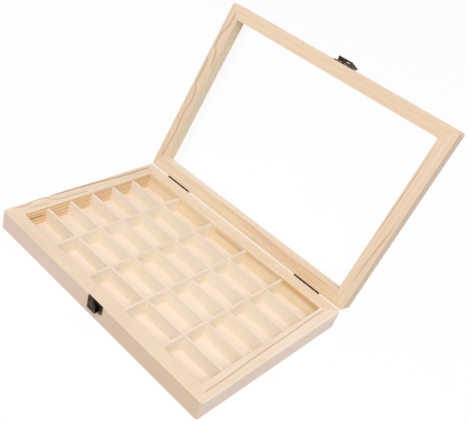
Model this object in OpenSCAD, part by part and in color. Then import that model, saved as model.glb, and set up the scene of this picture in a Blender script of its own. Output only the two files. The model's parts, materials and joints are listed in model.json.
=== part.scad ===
// Display case for film cassettes: a compartment tray under a hinged, glazed lid.
// Millimetres. The origin is the centre of the underside; +Z is up, +Y is the hinge side.
// The lid is drawn shut and then turned open about the hinge line.

/* [Case] */
// Outside length, along the hinge side
case_w = 300; // [260:1:360]
// Outside depth, front to back
case_d = 214; // [180:1:260]
// Radius of the upright corners
corner_r = 3; // [1:0.5:5]
// Radius that eases the wooden edges
ease_r = 0.6; // [0.4:0.1:1.2]

/* [Base] */
// Height of the base walls
base_h = 22; // [20:0.5:32]
// Width of the base walls
wall_w = 16; // [14:0.5:20]
// Thickness of the floor panel
floor_t = 1.5; // [1.5:0.5:4]
// How far the floor panel is let into each wall
floor_rebate = 6; // [4:0.5:8]

/* [Compartments] */
// Thickness of the dividers
divider_t = 3; // [2:0.5:4]
// How far the dividers stop below the top of the walls
divider_drop = 2.5; // [1:0.5:4]

/* [Lid] */
// Thickness of the lid frame
lid_h = 20; // [18:0.5:24]
// Width of the lid frame
rail_w = 15.4; // [13:0.1:20]
// Radius of the lid's top outer edge
lid_edge_r = 2; // [1:0.5:3]
// Thickness of the clear pane
pane_t = 2; // [1.5:0.5:3]
// How far the pane is let into the frame, in a rebate cut from above
pane_rebate = 5; // [3:0.5:7]
// Height of the lip that the pane lies on
pane_rise = 15.5; // [13:0.5:16]
// How far the beads that hold the pane down stop below the top of the lid
bead_drop = 0.5; // [0:0.25:1]
// Angle by which the lid stands open
open_angle = 109.6; // [95:0.2:115]

/* [Hinges] */
// Length of a hinge
hinge_l = 34; // [30:1:44]
// Distance from the case's end to the middle of a hinge
hinge_inset = 48; // [35:1:70]
// Length of a hinge's middle knuckle
hinge_mid_l = 16; // [12:1:20]
// Height of a hinge leaf, from the pin's axis to its edge
leaf_h = 10; // [9:0.5:12]
// Outer radius of the hinge knuckles
knuckle_r = 1; // [0.8:0.05:1.2]
// Radius of a hinge pin
hinge_pin_r = 0.45; // [0.4:0.05:0.5]
// Distance of the outer nails from a leaf's ends
hinge_nail_inset = 5; // [4:0.5:8]
// Distance of the nails from a leaf's long edge
hinge_nail_edge = 3.5; // [3:0.5:5]
// Reach of the folded stop ears behind the pin's axis
ear_reach = 4.5; // [3:0.5:6]
// Distance of a stop ear's foot from the leaf's long edge
ear_foot = 3; // [2:0.5:4]

/* [Latch] */
// Place of the latch along the front, from the middle
latch_x = 6; // [-60:1:60]
// Width of the latch plate on the lid
latch_plate_w = 25; // [23:0.5:30]
// Height of the latch plate's lower edge above the lid's underside
latch_plate_low = 3.5; // [2:0.5:4]
// Height of the latch plate
latch_plate_h = 11; // [10:0.5:13]
// Radius of the latch plate's upper corners
plate_corner_r = 3; // [1:0.5:3]
// Width of the latch lever, a tray with a window that swings over the keeper's hook
lever_w = 16.4; // [15.8:0.2:17.2]
// Height of the lever's crossbar
crossbar_h = 5; // [4:0.2:5.6]
// How far the lever's foot is bent outwards
foot_reach = 0.8; // [0.5:0.1:1.2]
// Angle by which the folded lever lies past upright, with its side walls down on the plate
lever_lean = 10.7; // [9:0.1:11]
// Width of the plate's knuckle, in the middle of the lever's pin
post_w = 3.3; // [2.5:0.1:4]
// Outer radius of the latch knuckles
latch_knuckle_r = 1.5; // [1.3:0.1:1.7]
// Radius of the latch pin
latch_pin_r = 0.7; // [0.5:0.05:0.8]
// How far the latch pin stands out of the lever's side walls
latch_pin_proud = 0.3; // [0.3:0.1:1]
// Height of the latch pin's axis above the lid's front face
latch_pin_out = 4.7; // [4.2:0.1:5.2]
// Distance of the latch plate's nails from its ends
plate_nail_inset = 2; // [2:0.25:3]
// Height of the latch plate's nails above its lower edge
plate_nail_up = 2.2; // [2:0.2:5]
// Width of the keeper plate
keeper_w = 21; // [19:0.2:24]
// Height of the keeper plate below the top of the base
keeper_h = 10.6; // [9:0.2:12]
// How far the keeper plate stands above the top of the base
keeper_over = 0.5; // [0:0.1:0.5]
// Distance of the keeper plate's nails from its ends
keeper_nail_inset = 2.2; // [2:0.1:2.6]
// Width of the keeper's hook
hook_w = 10.8; // [10:0.2:11]
// How far the hook stands out from the wood
hook_out = 5.6; // [4.4:0.1:6]
// Depth of the hook's rim below the top of the base
hook_rim = 0.5; // [0.5:0.5:4]
// Depth of the hook's underside below the top of the base
hook_low = 11.2; // [10:0.2:13]
// Radius of the lower corners of the keeper plate and its hook, seen from the front
hook_corner_r = 1.5; // [0.5:0.25:2]
// Distance of the dimple behind the hook from the hook's middle
dimple_x = 2.6; // [1:0.2:3]
// Radius of the lever's lower corners, seen from the front
lever_corner_r = 2; // [0.5:0.25:2.5]

/* [Metal and nails] */
// Thickness of the sheet metal
sheet_t = 0.8; // [0.6:0.1:1]
// Radius of a nail's shank
nail_r = 0.5; // [0.4:0.05:0.6]
// Length of a nail
nail_l = 9; // [6:0.5:10]
// Radius of a nail's head
nail_head_r = 1.3; // [1:0.1:1.5]
// Height of a nail's domed head
nail_head_h = 0.6; // [0.4:0.1:0.8]

/* [Clearances] */
// Gap between the shut lid and the base
lid_gap = 0.3; // [0.2:0.1:0.5]
// Gap between the hinge knuckles and the groove that they lie in
knuckle_gap = 0.1; // [0.1:0.05:0.3]
// Gap beside the floor panel, the pane and the divider ends
panel_gap = 0.2; // [0.1:0.05:0.3]
// Length of the groove beyond each end of a hinge
groove_end = 0.6; // [0.5:0.1:1]
// Gap on each side of a divider in its halving slot
slot_gap = 0.1; // [0.05:0.05:0.2]
// Radial clearance of a pin or a nail in its hole
pin_gap = 0.05; // [0.03:0.01:0.08]
// Gap between metal pieces that move past each other
metal_gap = 0.3; // [0.2:0.05:0.4]
// Gap between the lever's crossbar and the hook that it hangs under
catch_gap = 0.5; // [0.4:0.1:0.7]
// Gap on each side of the hook in the lever's window
window_gap = 0.4; // [0.3:0.1:0.6]

/* [Hidden] */
$fn = 48;

pine = "#ecd4b4";
plywood = "#eedcc0";
bronze = "#54453a";
clear = "#e8f0f080";

// More than any size, for cuts that run right through
far = 400;
// Overshoot of a cut that ends on another face, and of one that runs past an edge
eps = 0.01;
over = 1;

// Quarter-round beads that fill the rebate over the pane
bead_r = lid_h - pane_rise - pane_t - bead_drop;

// Compartment grid: the counts are fixed, because each divider is a piece of its own
columns = 5;
rows = 6;
inner_w = case_w - 2 * wall_w;
inner_d = case_d - 2 * wall_w;
cell_w = (inner_w - (columns - 1) * divider_t) / columns;
cell_d = (inner_d - (rows - 1) * divider_t) / rows;
divider_h = base_h - floor_t - divider_drop;

// Hinge line, in the middle plane of the leaves on the back of the case
lid_z = base_h + lid_gap;
pivot_y = case_d / 2 + sheet_t / 2;
pivot_z = base_h + lid_gap / 2;
hinge_x = case_w / 2 - hinge_inset;
hinge_nail_x = hinge_l / 2 - hinge_nail_inset;
hinge_nail_z = leaf_h - hinge_nail_edge;

// Latch, with its pin tangent to the plate's lower edge
latch_pin_z = lid_z + latch_plate_low + latch_knuckle_r;
latch_pin_y = -case_d / 2 - latch_pin_out;
latch_pin_half = lever_w / 2 + latch_pin_proud;
hook_r = hook_out / 2;
hook_bend_z = base_h - hook_low + hook_r;
window_w = hook_w + 2 * window_gap;
window_low_z = base_h - hook_low - catch_gap;
window_high_z = base_h - hook_rim + catch_gap;
lever_inner_y = latch_pin_y + latch_knuckle_r;
lever_low_z = window_low_z - crossbar_h;
lever_l = latch_pin_z - lever_low_z;
lever_fold = 180 + lever_lean;
// Height of the lever's side walls at the pin, down to the plate when the lever is folded back
wall_high = latch_knuckle_r + (latch_pin_out - sheet_t - metal_gap) / cos(lever_lean);
plate_nail_x = latch_plate_w / 2 - plate_nail_inset;
plate_nail_z = lid_z + latch_plate_low + plate_nail_up;
keeper_nail_x = keeper_w / 2 - keeper_nail_inset;
keeper_nail_z = base_h - keeper_h / 2;

// Quarter-round cutter for the corner of an outline at the origin
module corner_cut(r) {
    difference() {
        translate([-over, -over]) square([r + over, r + over]);
        translate([r, r]) circle(r);
    }
}

// Cutters that round both lower corners of a metal piece of width w, seen from the front
module low_corners(w, low_z, r) {
    for (side = [0, 1]) mirror([side, 0, 0]) translate([-w / 2, 0, low_z])
        rotate([90, 0, 0]) linear_extrude(case_d) corner_cut(r);
}

// Section of a board with its outer face at x = 0 and its underside at y = 0
module board_section(w, h, low_r, top_r) {
    difference() {
        square([w, h]);
        corner_cut(low_r);
        translate([0, h]) mirror([0, 1]) corner_cut(top_r);
        translate([w, h]) rotate(180) corner_cut(ease_r);
    }
}

// Plan of a mitred board whose outer face lies along y = 0
module board_plan(l, w) {
    intersection() {
        polygon([[-l / 2, 0], [l / 2, 0], [l / 2 - w, w], [-l / 2 + w, w]]);
        union() {
            translate([-l / 2 + corner_r, 0]) square([l - 2 * corner_r, w]);
            translate([-l / 2, corner_r]) square([l, w]);
            for (side = [-1, 1]) translate([side * (l / 2 - corner_r), corner_r]) circle(corner_r);
        }
    }
}

// Mitred board that carries the given section along its length
module board(l, w, h) {
    intersection() {
        rotate([90, 0, 90]) translate([0, 0, -l / 2]) linear_extrude(l) children();
        linear_extrude(h) board_plan(l, w);
    }
}

// The four sides of a case-sized frame, from a board drawn for the front or the left
module at_front() { translate([0, -case_d / 2, 0]) children(); }
module at_back() { mirror([0, 1, 0]) at_front() children(); }
module at_left() { rotate([0, 0, -90]) translate([0, -case_w / 2, 0]) children(); }
module at_right() { mirror([1, 0, 0]) at_left() children(); }

module base_board(l) {
    board(l, wall_w, base_h) difference() {
        board_section(wall_w, base_h, ease_r, ease_r);
        translate([wall_w - floor_rebate, -eps]) square([floor_rebate + eps, floor_t + eps]);
    }
}

module lid_board(l) {
    translate([0, 0, lid_z]) board(l, rail_w, lid_h) difference() {
        board_section(rail_w, lid_h, ease_r, lid_edge_r);
        translate([rail_w - pane_rebate, pane_rise]) square([pane_rebate + eps, lid_h]);
    }
}

// Mitred quarter-round bead in the rebate over the pane, for a side of the lid of the given length
module bead_board(l) {
    inset = rail_w - pane_rebate;
    half = l / 2 - inset;
    inner_half = half - bead_r;
    translate([0, inset, lid_z + pane_rise + pane_t]) intersection() {
        rotate([90, 0, 90]) translate([0, 0, -half]) linear_extrude(2 * half) intersection() {
            square(bead_r);
            circle(bead_r);
        }
        linear_extrude(bead_r)
            polygon([[-half, 0], [half, 0], [inner_half, bead_r], [-inner_half, bead_r]]);
    }
}

// Turns what is drawn on the shut lid to where the open lid holds it
module on_open_lid() {
    translate([0, pivot_y, pivot_z]) rotate([-open_angle, 0, 0])
        translate([0, -pivot_y, -pivot_z]) children();
}

// Domed nail along +Y: the shank runs into the wood, the head stands on a sheet's face at y = 0
module nail() {
    dome_r = (nail_head_r * nail_head_r + nail_head_h * nail_head_h) / (2 * nail_head_h);
    rotate([-90, 0, 0]) cylinder(r = nail_r, h = nail_l);
    intersection() {
        translate([0, dome_r - nail_head_h, 0]) sphere(dome_r);
        rotate([90, 0, 0]) cylinder(r = nail_head_r, h = nail_head_h);
    }
}

module nail_hole() {
    rotate([90, 0, 0]) cylinder(r = nail_r + pin_gap, h = 2 * (nail_l + over), center = true);
}

// Places of the nails, with the head's seat towards -Y
module at_keeper_nails() {
    for (side = [-1, 1])
        translate([latch_x + side * keeper_nail_x, -case_d / 2 - sheet_t, keeper_nail_z]) children();
}

module at_plate_nails() {
    for (side = [-1, 1])
        translate([latch_x + side * plate_nail_x, -case_d / 2 - sheet_t, plate_nail_z]) children();
}

module at_hinge_nails(side) {
    for (hinge = [-1, 1], step = [-1, 0, 1])
        translate([hinge * hinge_x + step * hinge_nail_x, case_d / 2 + sheet_t, 0])
            translate([0, 0, pivot_z + side * hinge_nail_z]) rotate([0, 0, 180]) children();
}

// Grooves along the edges of the back boards, in which the hinge knuckles turn
module knuckle_grooves() {
    for (hinge = [-1, 1])
        translate([hinge * hinge_x, pivot_y, pivot_z]) rotate([0, 90, 0])
            cylinder(r = knuckle_r + knuckle_gap, h = hinge_l + 2 * groove_end, center = true);
}

// Base walls and floor
module base_front_wall() {
    color(pine) difference() {
        at_front() base_board(case_w);
        at_keeper_nails() nail_hole();
    }
}

module base_back_wall() {
    color(pine) difference() {
        at_back() base_board(case_w);
        at_hinge_nails(-1) nail_hole();
        knuckle_grooves();
    }
}

module base_left_wall() {
    color(pine) at_left() base_board(case_d);
}

module base_right_wall() {
    color(pine) at_right() base_board(case_d);
}

module base_floor() {
    w = inner_w + 2 * (floor_rebate - panel_gap);
    d = inner_d + 2 * (floor_rebate - panel_gap);
    color(plywood) translate([-w / 2, -d / 2, 0]) cube([w, d, floor_t]);
}

// Divider along X between the end walls, halved from above over the column dividers
module row_divider(i) {
    l = inner_w - 2 * panel_gap;
    color(plywood) difference() {
        translate([-l / 2, row_y(i), floor_t]) cube([l, divider_t, divider_h]);
        for (c = [1 : columns - 1])
            translate([column_x(c) - slot_gap, row_y(i) - over, floor_t + divider_h / 2 - slot_gap / 2])
                cube([divider_t + 2 * slot_gap, divider_t + 2 * over, divider_h]);
    }
}

// Divider along Y between the long walls, halved from below over the row dividers
module column_divider(i) {
    l = inner_d - 2 * panel_gap;
    color(plywood) difference() {
        translate([column_x(i), -l / 2, floor_t]) cube([divider_t, l, divider_h]);
        for (r = [1 : rows - 1])
            translate([column_x(i) - over, row_y(r) - slot_gap, floor_t - divider_h / 2 + slot_gap / 2])
                cube([divider_t + 2 * over, divider_t + 2 * slot_gap, divider_h]);
    }
}

function column_x(i) = -inner_w / 2 + i * cell_w + (i - 1) * divider_t;
function row_y(i) = -inner_d / 2 + i * cell_d + (i - 1) * divider_t;

// Hinges, drawn with the leaf rising from the pin's axis at z = 0
module hinge_knuckle(span) {
    translate([span[0], pivot_y, 0]) rotate([0, 90, 0]) cylinder(r = knuckle_r, h = span[1]);
    translate([span[0], case_d / 2, 0]) cube([span[1], sheet_t, leaf_h / 2]);
}

module hinge_sheet() {
    bottom = knuckle_r + metal_gap;
    translate([-hinge_l / 2, case_d / 2, bottom]) cube([hinge_l, sheet_t, leaf_h - bottom]);
}

module hinge_bore() {
    translate([0, pivot_y, 0]) rotate([0, 90, 0])
        cylinder(r = hinge_pin_r + pin_gap, h = 2 * hinge_l, center = true);
}

// Folded ear that the lid's leaf comes down on when the lid stands open
module stop_ear() {
    along = [sin(open_angle), cos(open_angle)];
    down = [cos(open_angle), -sin(open_angle)];
    face = case_d / 2 + sheet_t - pivot_y;
    root = face - sheet_t / 2;
    top = (face + metal_gap) * down;
    outline = [
        [root, -knuckle_r],
        top + knuckle_r * along,
        top + ear_reach * along,
        top + ear_reach * along + 2 * sheet_t * down,
        [root, -leaf_h + ear_foot]
    ];
    translate([0, pivot_y, 0]) rotate([90, 0, 90]) linear_extrude(sheet_t) polygon(outline);
}

module hinge_base_leaf(side) {
    outer_l = (hinge_l - hinge_mid_l) / 2 - metal_gap;
    color(bronze) difference() {
        translate([side * hinge_x, 0, pivot_z]) difference() {
            union() {
                mirror([0, 0, 1]) {
                    hinge_sheet();
                    hinge_knuckle([-hinge_l / 2, outer_l]);
                    hinge_knuckle([hinge_l / 2 - outer_l, outer_l]);
                }
                translate([-hinge_l / 2, 0, 0]) stop_ear();
                translate([hinge_l / 2 - sheet_t, 0, 0]) stop_ear();
            }
            hinge_bore();
        }
        at_hinge_nails(-1) nail_hole();
    }
}

module hinge_lid_leaf(side) {
    color(bronze) on_open_lid() difference() {
        translate([side * hinge_x, 0, pivot_z]) difference() {
            union() {
                hinge_sheet();
                hinge_knuckle([-hinge_mid_l / 2, hinge_mid_l]);
            }
            hinge_bore();
        }
        at_hinge_nails(1) nail_hole();
    }
}

module hinge_pin(side) {
    color(bronze) translate([side * hinge_x, pivot_y, pivot_z]) rotate([0, 90, 0])
        cylinder(r = hinge_pin_r, h = hinge_l + sheet_t, center = true);
}

module hinge_base_nails() {
    color(bronze) at_hinge_nails(-1) nail();
}

module hinge_lid_nails() {
    color(bronze) on_open_lid() at_hinge_nails(1) nail();
}

// Upturned hook of the keeper, seen from its end
module hook_section() {
    translate([-case_d / 2 - hook_r, hook_bend_z]) difference() {
        circle(hook_r);
        circle(hook_r - sheet_t);
        translate([-hook_out, 0]) square([2 * hook_out, hook_out]);
    }
    translate([-case_d / 2 - hook_out, hook_bend_z - eps])
        square([sheet_t, base_h - hook_rim - hook_bend_z + eps]);
    translate([-case_d / 2 - sheet_t, hook_bend_z - eps]) square([sheet_t, hook_out]);
}

module latch_keeper() {
    dimple_r = nail_head_r;
    color(bronze) difference() {
        translate([latch_x, 0, 0]) {
            difference() {
                translate([-keeper_w / 2, -case_d / 2 - sheet_t, base_h - keeper_h])
                    cube([keeper_w, sheet_t, keeper_h + keeper_over]);
                low_corners(keeper_w, base_h - keeper_h, hook_corner_r);
            }
            difference() {
                rotate([90, 0, 90]) translate([0, 0, -hook_w / 2]) linear_extrude(hook_w) hook_section();
                low_corners(hook_w, base_h - hook_low, hook_corner_r);
            }
            translate([-dimple_x, -case_d / 2 - sheet_t, base_h - hook_rim - nail_head_h])
                intersection() {
                    sphere(dimple_r);
                    translate([0, dimple_r - nail_head_h, 0]) rotate([90, 0, 0])
                        cylinder(r = dimple_r, h = dimple_r);
                }
        }
        at_keeper_nails() nail_hole();
    }
}

module latch_keeper_nails() {
    color(bronze) at_keeper_nails() nail();
}

// Lid frame and pane
module lid_front_rail() {
    color(pine) on_open_lid() difference() {
        at_front() lid_board(case_w);
        at_plate_nails() nail_hole();
    }
}

module lid_back_rail() {
    color(pine) on_open_lid() difference() {
        at_back() lid_board(case_w);
        at_hinge_nails(1) nail_hole();
        knuckle_grooves();
    }
}

module lid_left_stile() {
    color(pine) on_open_lid() at_left() lid_board(case_d);
}

module lid_right_stile() {
    color(pine) on_open_lid() at_right() lid_board(case_d);
}

module lid_pane() {
    let_in = pane_rebate - panel_gap - rail_w;
    w = case_w + 2 * let_in;
    d = case_d + 2 * let_in;
    color(clear) on_open_lid() translate([-w / 2, -d / 2, lid_z + pane_rise]) cube([w, d, pane_t]);
}

module lid_bead_front() {
    color(pine) on_open_lid() at_front() bead_board(case_w);
}

module lid_bead_back() {
    color(pine) on_open_lid() at_back() bead_board(case_w);
}

module lid_bead_left() {
    color(pine) on_open_lid() at_left() bead_board(case_d);
}

module lid_bead_right() {
    color(pine) on_open_lid() at_right() bead_board(case_d);
}

// Knuckle of the latch on its pin, over a span given by its start and length
module latch_knuckle(span) {
    translate([span[0], latch_pin_y, latch_pin_z]) rotate([0, 90, 0])
        cylinder(r = latch_knuckle_r, h = span[1]);
}

// Latch plate seen from the front, with its lower edge at y = 0
module plate_outline() {
    difference() {
        translate([-latch_plate_w / 2, 0]) square([latch_plate_w, latch_plate_h]);
        for (side = [0, 1]) mirror([side, 0]) translate([-latch_plate_w / 2, latch_plate_h])
            mirror([0, 1]) corner_cut(plate_corner_r);
    }
}

module latch_bore() {
    translate([0, latch_pin_y, latch_pin_z]) rotate([0, 90, 0])
        cylinder(r = latch_pin_r + pin_gap, h = 2 * latch_plate_w, center = true);
}

module latch_plate() {
    low_z = lid_z + latch_plate_low;
    color(bronze) on_open_lid() difference() {
        translate([latch_x, 0, 0]) difference() {
            union() {
                translate([0, -case_d / 2, low_z]) rotate([90, 0, 0])
                    linear_extrude(sheet_t) plate_outline();
                latch_knuckle([-post_w / 2, post_w]);
                translate([-post_w / 2, latch_pin_y, low_z]) cube([post_w, latch_pin_out, sheet_t]);
            }
            latch_bore();
        }
        at_plate_nails() nail_hole();
    }
}

module latch_plate_nails() {
    color(bronze) on_open_lid() at_plate_nails() nail();
}

module latch_pin() {
    color(bronze) on_open_lid() translate([latch_x, latch_pin_y, latch_pin_z]) rotate([0, 90, 0])
        cylinder(r = latch_pin_r, h = 2 * latch_pin_half, center = true);
}

// Side of the lever as it hangs when it holds the lid shut, with its crossbar under the keeper's hook
module lever_section() {
    difference() {
        union() {
            translate([lever_inner_y - sheet_t, lever_low_z]) square([sheet_t, lever_l - latch_pin_r]);
            translate([lever_inner_y - sheet_t - foot_reach, lever_low_z])
                square([sheet_t + foot_reach, sheet_t]);
        }
        lever_bend();
    }
}

// Rounding where the foot is bent out of the sheet
module lever_bend() {
    translate([lever_inner_y, lever_low_z]) mirror([1, 0]) corner_cut(sheet_t);
}

// Side wall of the lever, whose free edge lies along the plate when the lever is folded back
module lever_wall() {
    difference() {
        polygon([
            [lever_inner_y, latch_pin_z],
            [lever_inner_y - wall_high, latch_pin_z],
            [lever_inner_y - wall_high + lever_l * tan(lever_lean), lever_low_z],
            [lever_inner_y, lever_low_z]
        ]);
        lever_bend();
    }
}

// Slot in the sheet around the plate's knuckle
module lever_slot() {
    low_z = latch_pin_z - latch_knuckle_r - metal_gap;
    translate([-post_w / 2 - metal_gap, latch_pin_y - far / 2, low_z])
        cube([post_w + 2 * metal_gap, far, far]);
}

module hanging_lever() {
    translate([latch_x, 0, 0]) difference() {
        union() {
            rotate([90, 0, 90]) translate([0, 0, -lever_w / 2]) linear_extrude(lever_w) lever_section();
            for (start = [-lever_w / 2, lever_w / 2 - sheet_t]) {
                rotate([90, 0, 90]) translate([0, 0, start]) linear_extrude(sheet_t) lever_wall();
                latch_knuckle([start, sheet_t]);
            }
        }
        translate([-window_w / 2, latch_pin_y - far / 2, window_low_z])
            cube([window_w, far, window_high_z - window_low_z]);
        lever_slot();
        low_corners(lever_w, lever_low_z, lever_corner_r);
        latch_bore();
    }
}

module latch_lever() {
    color(bronze) on_open_lid() translate([0, latch_pin_y, latch_pin_z]) rotate([-lever_fold, 0, 0])
        translate([0, -latch_pin_y, -latch_pin_z]) hanging_lever();
}

base_front_wall();
base_back_wall();
base_left_wall();
base_right_wall();
base_floor();
row_divider(1);  // row_divider_1
row_divider(2);  // row_divider_2
row_divider(3);  // row_divider_3
row_divider(4);  // row_divider_4
row_divider(5);  // row_divider_5
column_divider(1);  // column_divider_1
column_divider(2);  // column_divider_2
column_divider(3);  // column_divider_3
column_divider(4);  // column_divider_4
hinge_base_leaf(-1);  // hinge_base_leaf_left
hinge_base_leaf(1);  // hinge_base_leaf_right
hinge_pin(-1);  // hinge_pin_left
hinge_pin(1);  // hinge_pin_right
hinge_base_nails();
latch_keeper();
latch_keeper_nails();
lid_front_rail();
lid_back_rail();
lid_left_stile();
lid_right_stile();
lid_pane();
lid_bead_front();
lid_bead_back();
lid_bead_left();
lid_bead_right();
hinge_lid_leaf(-1);  // hinge_lid_leaf_left
hinge_lid_leaf(1);  // hinge_lid_leaf_right
hinge_lid_nails();
latch_plate();
latch_plate_nails();
latch_pin();
latch_lever();
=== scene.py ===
import json
import math

import bpy
from mathutils import Matrix, Vector

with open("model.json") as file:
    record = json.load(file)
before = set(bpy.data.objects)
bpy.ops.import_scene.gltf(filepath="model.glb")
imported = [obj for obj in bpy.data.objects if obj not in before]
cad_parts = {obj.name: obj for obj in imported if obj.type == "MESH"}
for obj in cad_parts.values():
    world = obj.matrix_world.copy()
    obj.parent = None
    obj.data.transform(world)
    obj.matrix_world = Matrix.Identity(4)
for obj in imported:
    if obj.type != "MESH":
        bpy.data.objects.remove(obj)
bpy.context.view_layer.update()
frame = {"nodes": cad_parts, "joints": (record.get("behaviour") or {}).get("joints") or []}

MM = 0.001
WHITE = (1, 1, 1, 1)

# The camera, solved from the straight edges in the photograph: places in metres, turns in
# degrees, lens and sensor in millimetres, shifts as shares of the sensor's width
CAMERA_PLACE = (0.33178, -0.46025, 0.47597)
CAMERA_TURN = (52.4078, -13.6943, 45.2505)
CAMERA_LENS = 53.532
CAMERA_SENSOR = 36
CAMERA_SHIFT = (0.0967, 0.0552)
CAMERA_NEAR = 0.01

# A pale room and one large soft lamp in front, above and to the right, in metres and watts
ROOM_LIGHT = 0.62
LAMP_SIZE = 1.8
LAMP_DISTANCE = 1.9
LAMP_DIRECTION = (0.30, -0.45, 0.84)
LAMP_POWER = 18.2

# The white floor under the case: how pale it is to the light, and how much of a shadow it shows
FLOOR_SIZE = 8.0
FLOOR_DROP = 0.2 * MM
FLOOR_COLOUR = 0.6
FLOOR_SHADOW = 0.1

# Rounded edges of the pieces, by the start of their names, in millimetres
SOFT_EDGES = {"row_": 0.25, "column_": 0.25, "latch_": 0.12, "base_": 0.15, "lid_": 0.15}
SHARP_PIECES = ("nails", "pin", "pane")
SOFT_STEPS = 2
SOFT_ANGLE = 40

# Values between which nearly all of a noise lies, and how far a seed moves it on each axis
NOISE_SPREAD = (0.3, 0.7)
SEED_STEPS = (1.0, 1.7, 2.3)

# Depths below a face, in millimetres, at which a tint of that face starts and is full
# On the outer faces that tint is painted light and shade
PAINTED_FACE_DEPTH = (0.5, 0.15)
INNER_SKIN = (0.5, 0.2)

# The Mix node's sockets for colours
MIX_A = 6
MIX_B = 7
MIX_RESULT = 2


def srgb(r, g, b):
    """A colour as it reads on screen, as the linear values that a shader takes."""
    def linear(v):
        v /= 255
        return v / 12.92 if v <= 0.04045 else ((v + 0.055) / 1.055) ** 2.4
    return (linear(r), linear(g), linear(b), 1.0)


class Shading:
    """The node tree of a material or a world, with short calls for the nodes used here."""

    def __init__(self, owner):
        owner.use_nodes = True
        self.owner = owner
        self.tree = owner.node_tree
        self.tree.nodes.clear()

    def feed(self, socket, value):
        if isinstance(value, bpy.types.NodeSocket):
            self.tree.links.new(value, socket)
        else:
            socket.default_value = value

    def node(self, kind, *values, **settings):
        """A new node with its settings, and values or links for its first sockets."""
        n = self.tree.nodes.new("ShaderNode" + kind)
        for key, value in settings.items():
            setattr(n, key, value)
        for socket, value in zip(n.inputs, values):
            self.feed(socket, value)
        return n

    def math(self, operation, *values):
        return self.node("Math", *values, operation=operation).outputs[0]

    def vector(self, operation, *values):
        return self.node("VectorMath", *values, operation=operation).outputs[0]

    def scale(self, vector, factor):
        n = self.node("VectorMath", vector, operation="SCALE")
        self.feed(n.inputs["Scale"], factor)
        return n.outputs[0]

    def dot(self, a, b):
        return self.node("VectorMath", a, b, operation="DOT_PRODUCT").outputs["Value"]

    def length(self, vector):
        return self.node("VectorMath", vector, operation="LENGTH").outputs["Value"]

    def combine(self, x, y, z):
        return self.node("CombineXYZ", x, y, z).outputs[0]

    def separate(self, vector):
        return self.node("SeparateXYZ", vector).outputs[:3]

    def here(self):
        """The shaded point in the shared frame, in metres."""
        return self.node("TexCoord").outputs["Object"]

    def here_mm(self):
        return self.scale(self.here(), 1 / MM)

    def change(self, value, low, high, out_low=0.0, out_high=1.0, kind="LINEAR"):
        """Change from out_low at low to out_high at high."""
        values = (value, low, high, out_low, out_high)
        return self.node("MapRange", *values, interpolation_type=kind).outputs[0]

    def step(self, *values):
        """The same change with a smooth start and end."""
        return self.change(*values, kind="SMOOTHSTEP")

    def noise(self, vector, stretch, seed, detail=2.0, roughness=0.5):
        """Noise whose grain measures stretch millimetres along each axis of vector. Each
        noise of a material adds a number of its own to the seed, so no two run alike."""
        scaled = self.vector("MULTIPLY", vector, tuple(1 / s for s in stretch))
        moved = self.vector("ADD", scaled, tuple(seed * s for s in SEED_STEPS))
        n = self.node("TexNoise")
        self.feed(n.inputs["Vector"], moved)
        self.feed(n.inputs["Scale"], 1.0)
        self.feed(n.inputs["Detail"], detail)
        self.feed(n.inputs["Roughness"], roughness)
        return n.outputs[0]

    def mix(self, factor, a, b, blend="MIX"):
        """Colour a, going over to b as factor goes from 0 to 1."""
        n = self.node("Mix", data_type="RGBA", blend_type=blend)
        self.feed(n.inputs[0], factor)
        self.feed(n.inputs[MIX_A], a)
        self.feed(n.inputs[MIX_B], b)
        return n.outputs[MIX_RESULT]

    def tint(self, colour, by):
        return self.mix(1.0, colour, by, "MULTIPLY")

    def solid(self, colour, roughness, height, relief, metallic=0.0):
        """A solid surface that looks raised by relief, in metres, where height is 1."""
        n = self.node("BsdfPrincipled")
        self.feed(n.inputs["Base Color"], colour)
        self.feed(n.inputs["Roughness"], roughness)
        self.feed(n.inputs["Metallic"], metallic)
        bump = self.node("Bump")
        self.feed(bump.inputs["Strength"], 1.0)
        self.feed(bump.inputs["Distance"], relief)
        self.feed(bump.inputs["Height"], height)
        self.feed(n.inputs["Normal"], bump.outputs[0])
        return n.outputs[0]

    def finish(self, surface, output="OutputMaterial"):
        self.feed(self.node(output).inputs["Surface"], surface)
        return self.owner


def new_material(name):
    return Shading(bpy.data.materials.new(name))


# How the lid lies open: the turn from shut to open about the hinge line
HINGE = next(j for j in frame["joints"] if j["name"] == "lid_hinge")
PIVOT = Vector(HINGE["pos_m"])
OPEN_TURN = Matrix.Translation(PIVOT) @ Matrix.Rotation(
    -math.radians(HINGE["range_deg"][1]), 4, Vector(HINGE["axis"])
) @ Matrix.Translation(-PIVOT)
STAYS = Matrix.Identity(4)

# Directions along each side of the case and from its outer face inwards, with the lid shut
SIDES = {
    "front": (Vector((1, 0, 0)), Vector((0, 1, 0))),
    "back": (Vector((1, 0, 0)), Vector((0, -1, 0))),
    "left": (Vector((0, 1, 0)), Vector((1, 0, 0))),
    "right": (Vector((0, 1, 0)), Vector((-1, 0, 0))),
}
UP = Vector((0, 0, 1))


def shut_box(node, turn):
    """Lowest and highest corner of a node with the lid shut."""
    back = turn.inverted()
    points = [back @ v.co for v in frame["nodes"][node].data.vertices]
    return [Vector([pick(p[i] for p in points) for i in range(3)]) for pick in (min, max)]


def board_width(node, side, turn):
    """Millimetres from a board's outer face to its inner one."""
    low, high = shut_box(node, turn)
    return abs((high - low).dot(SIDES[side][1])) / MM


def board_point(t, node, side, turn):
    """The shaded point in millimetres along a board from its middle, inwards from its
    outer face, and up from its underside."""
    low, high = shut_box(node, turn)
    along, inwards = SIDES[side]
    outer = Vector([low[i] if inwards[i] > 0 else high[i] for i in range(3)])
    outer = outer - along * outer.dot(along)
    outer.z = low.z
    spin = turn.to_3x3()
    offset = t.vector("SUBTRACT", t.here(), tuple(turn @ outer))
    return [t.dot(offset, tuple(spin @ axis / MM)) for axis in (along, inwards, UP)]


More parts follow.
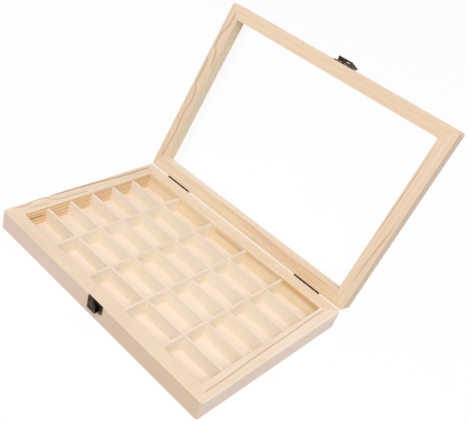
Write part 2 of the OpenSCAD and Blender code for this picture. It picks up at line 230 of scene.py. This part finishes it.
def in_skin(t, place, face):
    """1 at a face and 0 below its skin, for a place that is measured towards the face."""
    return t.step(place, *(face - depth for depth in INNER_SKIN))


# Grain lines: the range of the curves that place them, in millimetres along and across a
# board, and how dark their soft side is beside the line itself
LINE_SPAN = (-160.0, 160.0)
LINE_REACH = (-6.0, 24.0)
LINE_SHADE = 0.45
BAND_SOFT = 0.1


def line(course, strength, width, soft, side=1, fade=8.0):
    """A grain line. Its course is a list of points along and across the board, side is 1
    or -1 for the side on which it is soft, and fade is the length of its pale ends. All
    but strength and side are in millimetres."""
    return {
        "course": course, "strength": strength, "width": width,
        "soft": soft, "side": side, "fade": fade,
    }


def band(course, strength, width, fade):
    """A broad dark line that fades evenly towards both sides."""
    return line(course, strength, width, BAND_SOFT, fade=fade)


def share_of(value, span):
    return (value - span[0]) / (span[1] - span[0])


def grain_line(t, along, across, look):
    """Dark late wood along a given course, sharp on one side and soft on the other."""
    points = [(share_of(a, LINE_SPAN), share_of(b, LINE_REACH)) for a, b in look["course"]]
    n = t.node("FloatCurve")
    curve = n.mapping.curves[0]
    curve.points[0].location = points[0]
    curve.points[1].location = points[-1]
    for a, b in points[1:-1]:
        curve.points.new(a, b)
    n.mapping.update()
    t.feed(n.inputs["Value"], t.change(along, *LINE_SPAN))
    reach = LINE_REACH[1] - LINE_REACH[0]
    place = t.math("MULTIPLY_ADD", n.outputs[0], reach, LINE_REACH[0])
    gap = t.math("SUBTRACT", across, place)
    side = look["side"]
    sharp = t.step(t.math("ABSOLUTE", gap), look["width"], 0.0)
    shade = t.step(gap, look["soft"] * side, 0.0, 0.0, LINE_SHADE)
    soft_side = t.math("GREATER_THAN", t.math("MULTIPLY", gap, side), 0.0)
    both = t.math("MAXIMUM", sharp, t.math("MULTIPLY", shade, soft_side))
    start, end = look["course"][0][0], look["course"][-1][0]
    fade_in = t.step(along, start, start + look["fade"])
    fade_out = t.step(along, end, end - look["fade"])
    there = t.math("MULTIPLY", fade_in, fade_out)
    return t.math("MULTIPLY", t.math("MULTIPLY", both, there), look["strength"])


def add_lines(t, mark, along, across, lines):
    """The strongest of a mark and the grain lines over it."""
    for look in lines:
        mark = t.math("MAXIMUM", mark, grain_line(t, along, across, look))
    return mark


# Growth rings: how long and wide the waves in them are along, across and up, and how far
# they wander, in millimetres; the share of that upwards; and the shares of a ring between
# which its late wood darkens and then ends
WANDER_WAVE = (120, 22, 22)
RIPPLE_WAVE = (34, 7, 7)
WANDER = 7.0
RIPPLE = 1.1
SWAY_UP = 0.6
LATE_RISE = (0.2, 0.86)
LATE_FALL = (1.0, 0.9)


def growth_rings(t, point, look):
    """Late wood of growth rings about a pith beside the board, from 0 to 1."""
    along, across, up = point
    place = t.combine(along, across, up)
    wander = t.math("SUBTRACT", t.noise(place, WANDER_WAVE, look["seed"]), 0.5)
    ripple = t.math("SUBTRACT", t.noise(place, RIPPLE_WAVE, look["seed"] + 4), 0.5)
    wander = t.math("MULTIPLY", wander, look.get("wander", WANDER))
    sway = t.math("ADD", wander, t.math("MULTIPLY", ripple, RIPPLE))
    pith_across, pith_up = look["pith"]
    a = t.math("ADD", t.math("SUBTRACT", across, pith_across), sway)
    b = t.math("ADD", t.math("SUBTRACT", up, pith_up), t.math("MULTIPLY", sway, SWAY_UP))
    rings = t.math("DIVIDE", t.length(t.combine(a, b, 0.0)), look["spacing"])
    share = t.math("FRACT", rings)
    return t.math("MULTIPLY", t.step(share, *LATE_RISE), t.step(share, *LATE_FALL))


# Sanded pine: the size of its patches of tone and of its fibres, in millimetres along,
# across and up; how its fibres change its tone and roughness; how deep it is grained, and
# how far the late wood sinks into that; and where a tint changes from end to end
PINE_PATCH = (55, 10, 10)
PATCH_SPREAD = (0.35, 0.65)
PINE_FIBRE = (16, 0.35, 0.35)
PINE_TONES = (0.955, 1.03)
PINE_ROUGHNESS = (0.72, 0.6)
PINE_RELIEF = 0.06 * MM
LATE_SINK = 0.5
END_TO_END = (-110, 110)


def from_end_to_end(t, along, tints):
    """A tint that changes slowly from one end of a board to the other."""
    return t.mix(t.step(along, *END_TO_END), *tints)


def pine(node, side, turn, look):
    """Sanded pine: growth rings, placed grain lines, fibres and slow changes of tone, and painted
    light and shade on some faces.
    """
    t = new_material("pine_" + node)
    point = board_point(t, node, side, turn)
    along, across, up = point
    place = t.combine(*point)
    seed = look["seed"]
    patch = t.step(t.noise(place, PINE_PATCH, seed + 9), *PATCH_SPREAD)
    tone = t.mix(patch, *look["tones"])
    if "ends" in look:
        tone = t.tint(tone, from_end_to_end(t, along, look["ends"]))
    mark = t.math("MULTIPLY", growth_rings(t, point, look), look["ring_strength"])
    mark = add_lines(t, mark, along, across, look.get("lines", ()))
    colour = t.mix(mark, tone, look["late"])
    # Painted light and shade: the outer face is made lighter or darker than the rest of the
    # board, changing from end to end, to stand in for how light falls on it
    if "painted_face_light" in look:
        with_painted_light = t.tint(colour, from_end_to_end(t, along, look["painted_face_light"]))
        colour = t.mix(t.step(across, *PAINTED_FACE_DEPTH), colour, with_painted_light)
    # On the lid's back rail the inner tint is painted light, on the rail's upward inner face
    if "inner" in look:
        inner = look["inner"]
        strokes = t.math("MULTIPLY", mark, inner["rings"])
        strokes = add_lines(t, strokes, along, up, inner.get("lines", ()))
        inside = t.mix(strokes, t.tint(tone, inner["tint"]), inner.get("late", look["late"]))
        face = in_skin(t, across, board_width(node, side, turn))
        colour = t.mix(face, colour, inside)
        mark = t.step(face, 0.0, 1.0, mark, strokes)
    fibre = t.noise(place, PINE_FIBRE, seed + 2, detail=3)
    shaded = t.scale(colour, t.step(fibre, *NOISE_SPREAD, *PINE_TONES))
    height = t.math("SUBTRACT", fibre, t.math("MULTIPLY", mark, LATE_SINK))
    rough = t.step(fibre, *NOISE_SPREAD, *PINE_ROUGHNESS)
    return t.finish(t.solid(shaded, rough, height, PINE_RELIEF))


# Looks of the pine boards, each with its side of the case and its turn. tones: two colours
# that take turns along it; late: its late wood; pith: where the rings' middle lies inwards
# from the outer face and up from the underside; spacing: from ring to ring, both in
# millimetres; ends: tints of all of it, and painted_face_light: painted light and shade on
# its outer face, each from end to end; inner: how its inner face differs, which on the lid's
# back rail is painted light, where rings is the share of the marks that shows
LATE = srgb(205, 170, 132)
BOARDS = {
    "base_front_wall": ("front", STAYS, {
        "seed": 1.0, "tones": (srgb(237, 214, 188), srgb(240, 219, 190)), "late": LATE,
        "pith": (-30, 40), "spacing": 4.2, "ring_strength": 0.08,
        # Painted light and shade on the outer face: lighter and bluer at the left end, darker at
        # the right end
        "painted_face_light": ((1.055, 1.045, 1.19, 1), (0.975, 0.935, 0.94, 1)),
        "lines": [
            line([(-128, 1.6), (-100, 2.6), (-78, 2.4), (-60, 1.2)],
                 strength=0.5, width=0.6, soft=1.2),
        ],
    }),
    "base_back_wall": ("back", STAYS, {
        "seed": 2.0, "tones": (srgb(243, 223, 199), srgb(240, 218, 190)),
        "late": srgb(214, 170, 122),
        "pith": (-22, -30), "spacing": 13.0, "ring_strength": 0.15,
        "inner": {
            "tint": (1.1, 1.12, 1.07, 1), "rings": 0.6, "late": srgb(222, 174, 113),
            "lines": [
                # The first band darkens the upper part of the inner face along its whole length
                band([(-145, 16.5), (0, 16.2), (145, 16.6)], strength=0.26, width=6.0, fade=1),
                band([(-26, 15.4), (0, 15.0), (30, 15.2)], strength=0.6, width=5.0, fade=10),
                band([(20, 17.0), (50, 17.8), (84, 17.4)], strength=0.55, width=5.0, fade=10),
                band([(68, 17.4), (100, 18.0), (145, 17.0)], strength=0.8, width=7.0, fade=14),
            ],
        },
    }),
    "base_left_wall": ("left", STAYS, {
        "seed": 3.0, "tones": (srgb(237, 216, 191), srgb(235, 210, 188)),
        "late": srgb(182, 138, 98),
        "pith": (-12, -48), "spacing": 3.9, "ring_strength": 0.1,
        "ends": ((1.08, 1.08, 1.08, 1), (1.01, 1.03, 1.04, 1)),
        "lines": [
            line([(-96, 3.4), (-80, 4.0), (-70, 0.6), (-62, 0.8), (-52, 4.0),
                  (-46, 8.6), (-38, 10.4), (-20, 10.8), (0, 12.6)],
                 strength=0.62, width=1.4, soft=2.6, side=-1),
            line([(-50, 0.2), (-36, 1.2), (-20, 1.8), (0, 2.4), (20, 3.4),
                  (40, 4.6), (62, 5.4), (84, 5.2), (100, 6.4)],
                 strength=0.9, width=2.0, soft=3.0, side=-1),
            line([(-84, 10.4), (-76, 9.4), (-66, 9.9), (-58, 11.0), (-50, 13.8)],
                 strength=0.5, width=1.2, soft=3.0),
        ],
        "inner": {
            "tint": (1.05, 0.985, 0.83, 1), "rings": 0.0, "late": srgb(186, 134, 84),
            "lines": [
                line([(-100, 20.6), (-40, 19.8), (20, 18.6), (100, 19.2)],
                     strength=0.5, width=0.8, soft=2.0, side=-1),
                line([(-100, 16.4), (-40, 15.7), (20, 16.4), (100, 17.6)],
                     strength=0.6, width=0.8, soft=2.0, side=-1),
                line([(-100, 12.2), (-70, 12.0), (-40, 11.4), (20, 12.6), (100, 13.2)],
                     strength=0.6, width=0.8, soft=2.2, side=-1),
                line([(-100, 12.3), (-84, 12.1), (-58, 11.8)],
                     strength=1.0, width=1.9, soft=2.6, side=-1, fade=12),
                line([(-100, 8.0), (-72, 7.6), (-40, 6.6), (20, 8.6), (100, 9.2)],
                     strength=0.6, width=0.8, soft=2.0, side=-1),
                line([(-100, 3.6), (-40, 3.0), (20, 4.4), (100, 4.8)],
                     strength=0.4, width=0.7, soft=1.6, side=-1),
            ],
        },
    }),
    "base_right_wall": ("right", STAYS, {
        "seed": 4.0, "tones": (srgb(241, 221, 198), srgb(239, 216, 190)), "late": LATE,
        "pith": (-40, 30), "spacing": 4.6, "ring_strength": 0.09,
        # Painted light on the outer face: paler and bluer than the top, most at the front end
        "painted_face_light": ((1.06, 1.1, 1.22, 1), (1.06, 1.075, 1.125, 1)),
        "ends": ((1, 1, 1, 1), (1.07, 1.1, 1.17, 1)),
        "lines": [
            line([(-100, 8.2), (-62, 8.4), (-32, 9.6), (0, 10.1),
                  (32, 10.4), (68, 11.4), (97, 11.4)],
                 strength=0.95, width=1.1, soft=1.6),
        ],
    }),
    "lid_front_rail": ("front", OPEN_TURN, {
        "seed": 5.0, "tones": (srgb(242, 216, 188), srgb(239, 218, 185)), "late": LATE,
        "pith": (-26, -30), "spacing": 5.0, "ring_strength": 0.12,
        "ends": ((1.04, 1.02, 1.04, 1), (0.98, 0.95, 0.95, 1)),
    }),
    "lid_back_rail": ("back", OPEN_TURN, {
        "seed": 6.0, "tones": (srgb(241, 215, 181), srgb(242, 213, 186)),
        "late": srgb(206, 160, 114),
        "pith": (-58, -6), "spacing": 9.0, "ring_strength": 0.12, "wander": 4.0,
        "ends": ((1.01, 1.06, 1.08, 1), (0.97, 0.95, 0.9, 1)),
        # Its inner tint is painted light: it pales the rail's upward inner face, as light from
        # above would
        "inner": {"tint": (1.05, 1.12, 1.25, 1), "rings": 0.3},
        "lines": [
            line([(-49, 12.3), (4, 13.5), (71, 11.4), (98, 12.1), (134, 14.0)],
                 strength=0.7, width=0.8, soft=1.8, fade=20),
            line([(-10, 11.6), (40, 10.8), (80, 9.0), (98, 9.0), (130, 11.1)],
                 strength=0.6, width=0.7, soft=1.4, fade=20),
            line([(6, 10.1), (56, 8.9), (86, 7.4), (104, 7.1), (128, 9.4)],
                 strength=0.5, width=0.6, soft=1.2, fade=20),
            line([(-18, 9.6), (24, 7.8), (81, 6.1), (94, 5.4), (123, 8.0)],
                 strength=0.6, width=0.7, soft=1.6, fade=20),
            line([(0, 1.8), (69, 4.4), (112, 5.2), (140, 7.7)],
                 strength=0.6, width=0.7, soft=1.6, fade=20),
            line([(40, 0.4), (84, 1.8), (120, 2.6), (146, 4.6)],
                 strength=0.4, width=0.6, soft=1.2, fade=20),
        ],
    }),
    "lid_left_stile": ("left", OPEN_TURN, {
        "seed": 7.0, "tones": (srgb(241, 214, 187), srgb(242, 217, 184)),
        "late": srgb(178, 134, 102),
        "pith": (-6, -38), "spacing": 4.4, "ring_strength": 0.1,
        "inner": {"tint": (1.0, 1.07, 1.13, 1), "rings": 0.3},
        "lines": [
            line([(-100, 6.6), (-90, 9.0), (-76, 6.2), (-64, 3.6), (-57, 4.0),
                  (-50, 8.4), (-41, 11.0), (-26, 13.4)],
                 strength=0.7, width=1.3, soft=3.5),
            line([(-44, 1.0), (-22, 4.0), (-9, 3.6), (0, 7.0), (14, 9.4), (28, 7.8),
                  (43, 7.8), (55, 9.2), (84, 8.2), (96, 8.4)],
                 strength=0.66, width=1.3, soft=3.5),
        ],
    }),
    "lid_right_stile": ("right", OPEN_TURN, {
        "seed": 8.0, "tones": (srgb(241, 217, 192), srgb(240, 214, 185)),
        "late": srgb(190, 148, 108),
        "pith": (-30, 44), "spacing": 4.0, "ring_strength": 0.12,
        "lines": [
            line([(-94, 12.6), (-39, 13.0), (5, 13.6), (40, 14.2)],
                 strength=0.9, width=0.7, soft=1.2, fade=50),
            line([(-24, 0.2), (16, 3.4), (52, 6.0), (96, 6.6)],
                 strength=0.9, width=0.8, soft=2.2, fade=50),
        ],
    }),
}
for side in SIDES:
    BOARDS["lid_bead_" + side] = (side, OPEN_TURN, {
        "seed": 9.0, "tones": (srgb(238, 217, 192), srgb(243, 224, 198)), "late": LATE,
        "pith": (-20, 20), "spacing": 2.0, "ring_strength": 0.3,
    })


# Thin plywood of the floor and the dividers: sizes of its patches, streaks and fibres along
# and across the fibres, in millimetres, and how strong they are
THIN_PATCH = (55, 14, 14)
THIN_STREAK = (60, 1.1, 1.1)
STREAK_SPREAD = (0.52, 0.72)
STREAK_STRENGTH = 0.25
STREAK_COLOUR = srgb(236, 214, 186)
THIN_FIBRE = (9, 0.3, 0.3)
THIN_TONES = (0.965, 1.02)
THIN_ROUGHNESS = (0.74, 0.62)
THIN_RELIEF = 0.04 * MM
FLOOR_TONES = (srgb(245, 231, 218), srgb(245, 230, 214))
FLOOR_SEED = 11.0
DIVIDER_TONES = (srgb(254, 244, 229), srgb(253, 242, 223))
DIVIDER_EDGE = (0.91, 0.83, 0.79, 1)
ROW_DIVIDERS = 5
ROW_SEED = 20.0
COLUMN_DIVIDERS = 4
COLUMN_SEED = 30.0


def thin_wood(name, along, seed, tones, top=None):
    """Pale, even wood with fine fibres along one axis, and a duller edge where it has a top."""
    t = new_material(name)
    x, y, z = t.separate(t.here_mm())
    place = t.combine(x, y, z) if along == "X" else t.combine(y, x, z)
    patch = t.step(t.noise(place, THIN_PATCH, seed), *PATCH_SPREAD)
    streak = t.noise(place, THIN_STREAK, seed + 3)
    streak = t.step(streak, *STREAK_SPREAD, 0.0, STREAK_STRENGTH)
    colour = t.mix(streak, t.mix(patch, *tones), STREAK_COLOUR)
    if top is not None:
        colour = t.mix(in_skin(t, z, top), colour, t.tint(colour, DIVIDER_EDGE))
    fibre = t.noise(place, THIN_FIBRE, seed + 5, detail=3)
    shaded = t.scale(colour, t.step(fibre, *NOISE_SPREAD, *THIN_TONES))
    rough = t.step(fibre, *NOISE_SPREAD, *THIN_ROUGHNESS)
    return t.finish(t.solid(shaded, rough, fibre, THIN_RELIEF))


# Antique bronze: sizes of its worn patches, dark specks and scratches, in millimetres, the
# noise values between which they set in, and what they add to its relief
BRONZE_PATCH = (3.2, 3.2, 3.2)
BRONZE_SPECK = (0.5, 0.5, 0.5)
BRONZE_SCRATCH = (5.0, 0.12, 0.12)
BRONZE_SEED = 5.0
WORN_SPREAD = (0.4, 0.68)
SPECK_SPREAD = (0.58, 0.7)
SPECK_STRENGTH = 0.5
BRONZE_DARK = srgb(50, 34, 23)
BRONZE_WORN = srgb(98, 79, 64)
SPECK_COLOUR = srgb(46, 36, 30)
BRONZE_ROUGHNESS = (0.5, 0.34)
BRONZE_METALLIC = 0.85
BRONZE_RELIEF = 0.05 * MM
PATCH_HEIGHT = 0.6
SCRATCH_HEIGHT = 0.25


def bronze(name, seed):
    """Antique bronze plating: dark brown, with worn grey-brown patches and fine scratches."""
    t = new_material(name)
    here = t.here_mm()
    patch = t.noise(here, BRONZE_PATCH, seed, detail=4, roughness=0.6)
    speck = t.noise(here, BRONZE_SPECK, seed + 3)
    scratch = t.noise(here, BRONZE_SCRATCH, seed + 6, detail=1)
    colour = t.mix(t.step(patch, *WORN_SPREAD), BRONZE_DARK, BRONZE_WORN)
    speck = t.step(speck, *SPECK_SPREAD, 0.0, SPECK_STRENGTH)
    colour = t.mix(speck, colour, SPECK_COLOUR)
    patch_height = t.math("MULTIPLY", patch, PATCH_HEIGHT)
    height = t.math("ADD", patch_height, t.math("MULTIPLY", scratch, SCRATCH_HEIGHT))
    rough = t.step(patch, *NOISE_SPREAD, *BRONZE_ROUGHNESS)
    return t.finish(t.solid(colour, rough, height, BRONZE_RELIEF, BRONZE_METALLIC))


# Clear glass: size of its smears in millimetres, and what they change
SMEAR = (60, 40, 40)
SMEAR_SEED = 3.0
SMEAR_COLOUR = (0.996, 1.0, 0.998, 1)
SMEAR_ROUGHNESS = (0.0, 0.015)
GLASS_IOR = 1.45
GLASS_SHADOW = (0.97, 0.98, 0.98, 1)


def clear_pane(name):
    """Clear glass that lets lamps through, with the faintest smears in its gloss."""
    t = new_material(name)
    smear = t.noise(t.here_mm(), SMEAR, SMEAR_SEED)
    glass = t.node("BsdfPrincipled")
    t.feed(glass.inputs["Base Color"], t.mix(smear, WHITE, SMEAR_COLOUR))
    t.feed(glass.inputs["Roughness"], t.step(smear, *NOISE_SPREAD, *SMEAR_ROUGHNESS))
    t.feed(glass.inputs["IOR"], GLASS_IOR)
    t.feed(glass.inputs["Transmission Weight"], 1.0)
    see_through = t.node("BsdfTransparent", GLASS_SHADOW).outputs[0]
    shadow = t.node("LightPath").outputs["Is Shadow Ray"]
    return t.finish(t.node("MixShader", shadow, glass.outputs[0], see_through).outputs[0])


def dress(node, material):
    slots = frame["nodes"][node].material_slots
    if slots:
        for slot in slots:
            slot.material = material
    else:
        frame["nodes"][node].data.materials.append(material)


def dress_all():
    """Give every piece its material."""
    for node, (side, turn, look) in BOARDS.items():
        dress(node, pine(node, side, turn, look))
    dress("base_floor", thin_wood("floor_wood", "X", FLOOR_SEED, FLOOR_TONES))
    top = shut_box("row_divider_1", STAYS)[1].z / MM
    dividers = (
        ("row", "X", ROW_DIVIDERS, ROW_SEED),
        ("column", "Y", COLUMN_DIVIDERS, COLUMN_SEED),
    )
    for kind, along, count, seed in dividers:
        for i in range(1, count + 1):
            wood = thin_wood(f"{kind}_wood_{i}", along, seed + i, DIVIDER_TONES, top)
            dress(f"{kind}_divider_{i}", wood)
    metal = bronze("antique_bronze", BRONZE_SEED)
    for node in frame["nodes"]:
        if node.startswith(("hinge_", "latch_")):
            dress(node, metal)
    dress("lid_pane", clear_pane("clear_glass"))


def soften():
    """Small rounded edges, which catch the light as real edges do."""
    for name, node in frame["nodes"].items():
        for start, width in SOFT_EDGES.items():
            if name.startswith(start) and not name.endswith(SHARP_PIECES):
                m = node.modifiers.new("soft_edges", "BEVEL")
                m.width = width * MM
                m.segments = SOFT_STEPS
                m.limit_method = "ANGLE"
                m.angle_limit = math.radians(SOFT_ANGLE)


def seen(t):
    """1 for rays that come from the camera, off gloss or through the pane, and 0 for others."""
    path = t.node("LightPath")
    bent = t.math("MAXIMUM", path.outputs["Is Glossy Ray"], path.outputs["Is Transmission Ray"])
    return t.math("MAXIMUM", path.outputs["Is Camera Ray"], bent)


def room():
    """A pale room: the background shows white, and it lights the object less."""
    world = bpy.data.worlds.new("room")
    bpy.context.scene.world = world
    t = Shading(world)
    strength = t.change(seen(t), 0.0, 1.0, ROOM_LIGHT, 1.0)
    t.finish(t.node("Background", WHITE, strength).outputs[0], "OutputWorld")


def floor():
    """A plain white floor that keeps a faint shadow of the object."""
    t = new_material("white_floor")
    shown = seen(t)
    tone = t.step(shown, 0.0, 1.0, FLOOR_COLOUR, 1.0)
    diffuse = t.node("BsdfDiffuse", t.combine(tone, tone, tone)).outputs[0]
    glow = t.node("Emission", WHITE, 1.0).outputs[0]
    share = t.math("MULTIPLY", shown, 1 - FLOOR_SHADOW)
    surface = t.finish(t.node("MixShader", share, diffuse, glow).outputs[0])
    half = FLOOR_SIZE / 2
    mesh = bpy.data.meshes.new("floor")
    corners = [(x * half, y * half, -FLOOR_DROP) for x, y in ((-1, -1), (1, -1), (1, 1), (-1, 1))]
    mesh.from_pydata(corners, [], [(0, 1, 2, 3)])
    mesh.materials.append(surface)
    piece = bpy.data.objects.new("floor", mesh)
    bpy.context.scene.collection.objects.link(piece)


def lamp():
    data = bpy.data.lights.new("soft_lamp", "AREA")
    data.shape = "DISK"
    data.size = LAMP_SIZE
    data.energy = LAMP_POWER
    piece = bpy.data.objects.new("soft_lamp", data)
    direction = Vector(LAMP_DIRECTION).normalized()
    piece.location = direction * LAMP_DISTANCE
    piece.rotation_euler = direction.to_track_quat("Z", "Y").to_euler()
    bpy.context.scene.collection.objects.link(piece)


def camera():
    data = bpy.data.cameras.new("camera")
    data.sensor_fit = "HORIZONTAL"
    data.sensor_width = CAMERA_SENSOR
    data.lens = CAMERA_LENS
    data.shift_x, data.shift_y = CAMERA_SHIFT
    data.clip_start = CAMERA_NEAR
    piece = bpy.data.objects.new("camera", data)
    piece.location = CAMERA_PLACE
    piece.rotation_euler = [math.radians(a) for a in CAMERA_TURN]
    bpy.context.scene.collection.objects.link(piece)
    bpy.context.scene.camera = piece


dress_all()
soften()
room()
floor()
lamp()
camera()
bpy.context.scene.view_settings.view_transform = "Standard"
